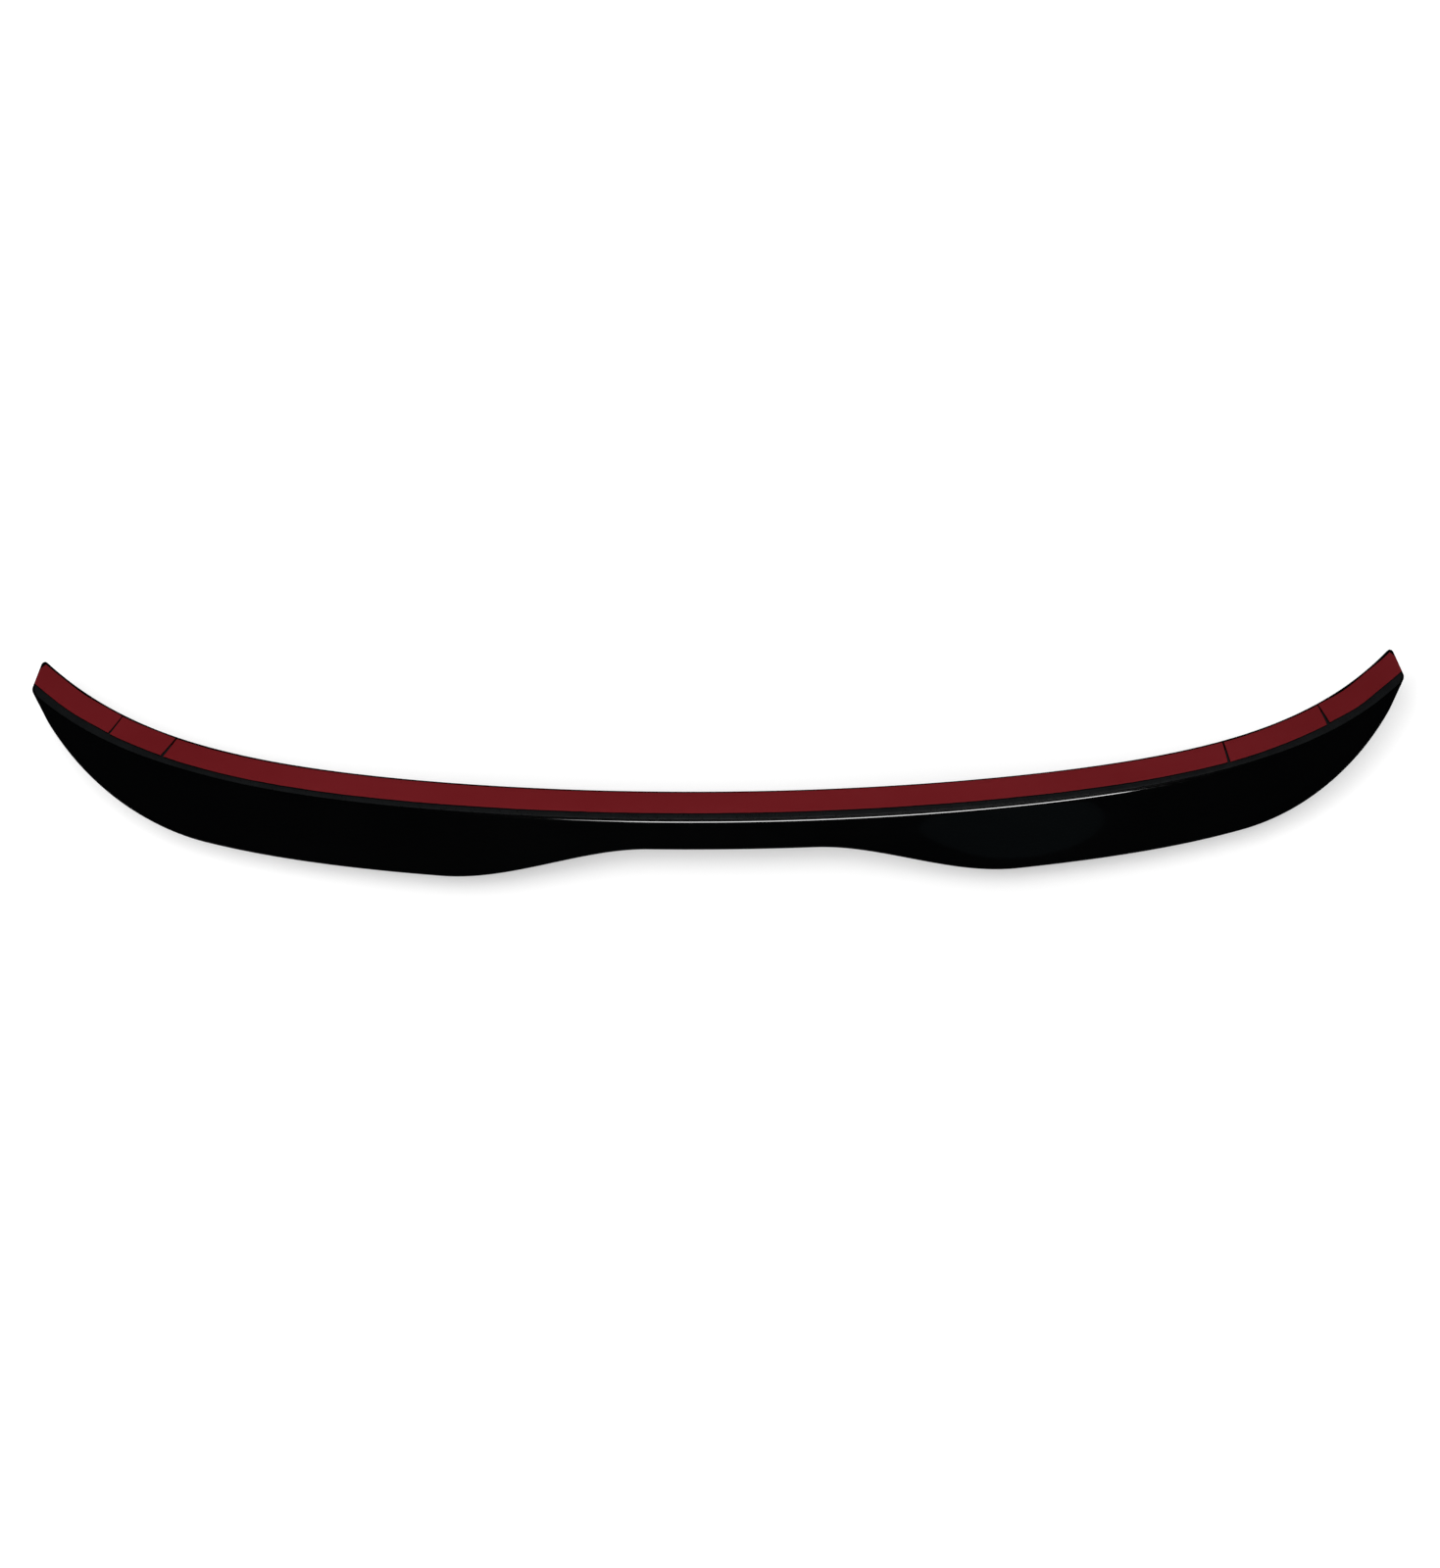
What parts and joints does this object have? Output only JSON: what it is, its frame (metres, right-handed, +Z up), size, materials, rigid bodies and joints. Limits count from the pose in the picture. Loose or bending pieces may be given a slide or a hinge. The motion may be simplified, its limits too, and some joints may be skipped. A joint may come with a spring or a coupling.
{
  "type": "boot lid lip spoiler",
  "caption": "Stick-on boot-lid lip spoiler: hollow black ducktail with a low centre between raised lobes, a satin base strip, and bonding tape under red release liners.",
  "frame": {"origin": "on the outer face of the release liners, where the part meets the boot lid, at mid-width and half-way across the tape", "axes": "+Z up away from the boot lid, +Y towards the front of the car, so the raised trailing edge is on the -Y side and both tips sweep forward, +X to the right of the car"},
  "size_m": [1.1716, 0.1872, 0.0446],
  "materials": {
    "gloss_shell": "high-gloss moulded black plastic",
    "satin_plate": "satin moulded black plastic",
    "adhesive": "cured black construction adhesive",
    "foam": "closed-cell black foam",
    "liner": "smooth dark red film"
  },
  "bodies": {
    "root": {"spoiler_shell": "gloss_shell", "base_plate": "satin_plate", "front_adhesive_bead": "adhesive", "rear_adhesive_bead": "adhesive", "foam_tape_right_end": "foam", "foam_tape_right_inner": "foam", "foam_tape_centre": "foam", "foam_tape_left_inner": "foam", "foam_tape_left_end": "foam", "release_liner_right_end": "liner", "release_liner_right_inner": "liner", "release_liner_centre": "liner", "release_liner_left_inner": "liner", "release_liner_left_end": "liner"}
  },
  "joints": []
}
